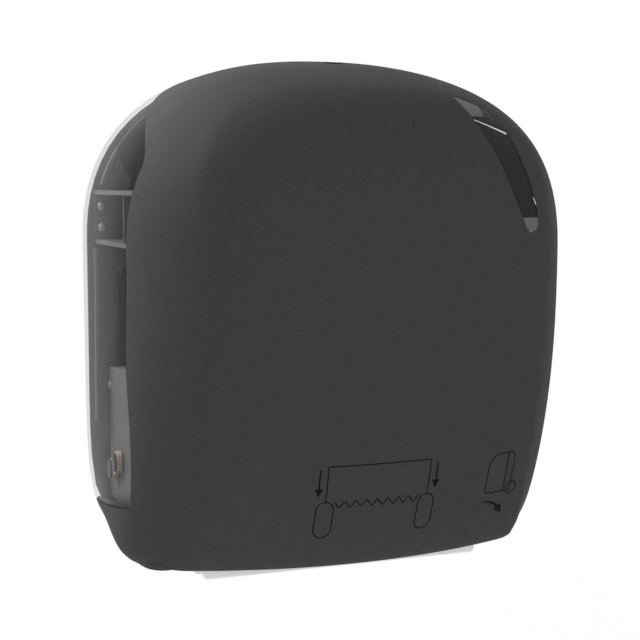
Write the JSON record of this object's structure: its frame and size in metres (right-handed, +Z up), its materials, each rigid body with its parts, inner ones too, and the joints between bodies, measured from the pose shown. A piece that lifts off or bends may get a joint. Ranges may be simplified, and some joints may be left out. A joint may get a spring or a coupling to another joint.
{
  "type": "automatic roll towel dispenser",
  "caption": "Wall roll towel dispenser: domed charcoal cover with smoked side windows hinged at the bottom, roll arms, feed drum with swinging knife and white paper exit.",
  "frame": {"origin": "centre of the four wall screws on the wall plane", "axes": "+X to the right seen from the front, +Y into the wall (front faces -Y), +Z up"},
  "size_m": [0.331, 0.221, 0.371],
  "materials": {
    "charcoal": "fine moulded grain",
    "smoke": "clear smoked",
    "light_plastic": "satin",
    "dark_plastic": "satin",
    "lock_metal": "dull plated",
    "rubber": "matte",
    "steel": "bright",
    "beige_plastic": "satin",
    "white_plastic": "smooth"
  },
  "bodies": {
    "base": {"back_plate": "light_plastic", "hinge_lugs": "light_plastic", "lock_keeper": "steel", "left_roll_arm": "light_plastic", "left_hub_clip": "steel", "right_arm_bracket": "light_plastic", "right_arm_pin": "steel", "right_arm_spring": "steel", "left_side_frame": "light_plastic", "right_side_frame": "light_plastic", "drum_bushes": "beige_plastic", "cam_plate": "light_plastic", "spring_post": "steel", "return_spring": "steel", "pinch_bushes": "beige_plastic", "stripper_comb": "dark_plastic", "exit_chute": "white_plastic", "left_mechanism_cover": "light_plastic", "right_mechanism_cover": "light_plastic", "frame_screws": "steel", "arm_screws": "steel", "mechanism_cover_screws": "steel"},
    "cover": {"cover_skin": "charcoal", "side_window_left": "smoke", "side_window_right": "smoke", "level_window": "smoke", "cover_hinge_ears": "charcoal", "cover_hinge_pins": "steel", "lock_housing": "dark_plastic"},
    "lock": {"lock_barrel": "lock_metal", "lock_tongue": "steel"},
    "left_hub_body": {"left_hub": "dark_plastic"},
    "right_arm": {"right_roll_arm": "light_plastic", "right_hub_clip": "steel"},
    "right_hub_body": {"right_hub": "dark_plastic"},
    "drum": {"drum_shell": "dark_plastic", "drum_grips": "rubber", "drum_shaft": "steel", "knife_pin": "steel", "crank_disc": "dark_plastic", "crank_pin": "steel", "crank_arm": "beige_plastic", "crank_caps": "dark_plastic", "feed_wheel": "dark_plastic", "feed_wheel_screw": "steel"},
    "knife": {"knife_carrier": "beige_plastic", "knife_blade": "steel", "knife_follower": "dark_plastic"},
    "pinch_roller": {"pinch_shaft": "steel", "pinch_rings": "rubber"}
  },
  "joints": [
    {"name": "cover_hinge", "type": "hinge", "parent": "base", "child": "cover", "pos_m": [0, -0.012, -0.226], "axis": [1, 0, 0], "range_deg": [0, 95]},
    {"name": "lock_turn", "type": "hinge", "parent": "cover", "child": "lock", "pos_m": [0, -0.106, 0.116], "axis": [0, 0, -1], "range_deg": [0, 90]},
    {"name": "left_hub_spin", "type": "hinge", "parent": "base", "child": "left_hub_body", "pos_m": [-0.11, -0.112, 0.021], "axis": [1, 0, 0], "continuous": true},
    {"name": "right_arm_swing", "type": "hinge", "parent": "base", "child": "right_arm", "pos_m": [0.124, -0.016, 0.021], "axis": [0, 0, 1], "range_deg": [0, 8], "deforming": ["right_arm_spring"]},
    {"name": "right_hub_spin", "type": "hinge", "parent": "right_arm", "child": "right_hub_body", "pos_m": [0.11, -0.112, 0.021], "axis": [1, 0, 0], "continuous": true},
    {"name": "drum_spin", "type": "hinge", "parent": "base", "child": "drum", "pos_m": [0, -0.062, -0.156], "axis": [1, 0, 0], "continuous": true, "deforming": ["return_spring"]},
    {"name": "knife_swing", "type": "hinge", "parent": "drum", "child": "knife", "pos_m": [0, -0.076, -0.139], "axis": [1, 0, 0], "range_deg": [0, 50]},
    {"name": "pinch_roller_spin", "type": "hinge", "parent": "base", "child": "pinch_roller", "pos_m": [0, -0.10464, -0.16352], "axis": [1, 0, 0], "continuous": true}
  ],
  "couplings": [
    {"joint": "pinch_roller_spin", "follows": "drum_spin", "ratio": -3.7778}
  ]
}
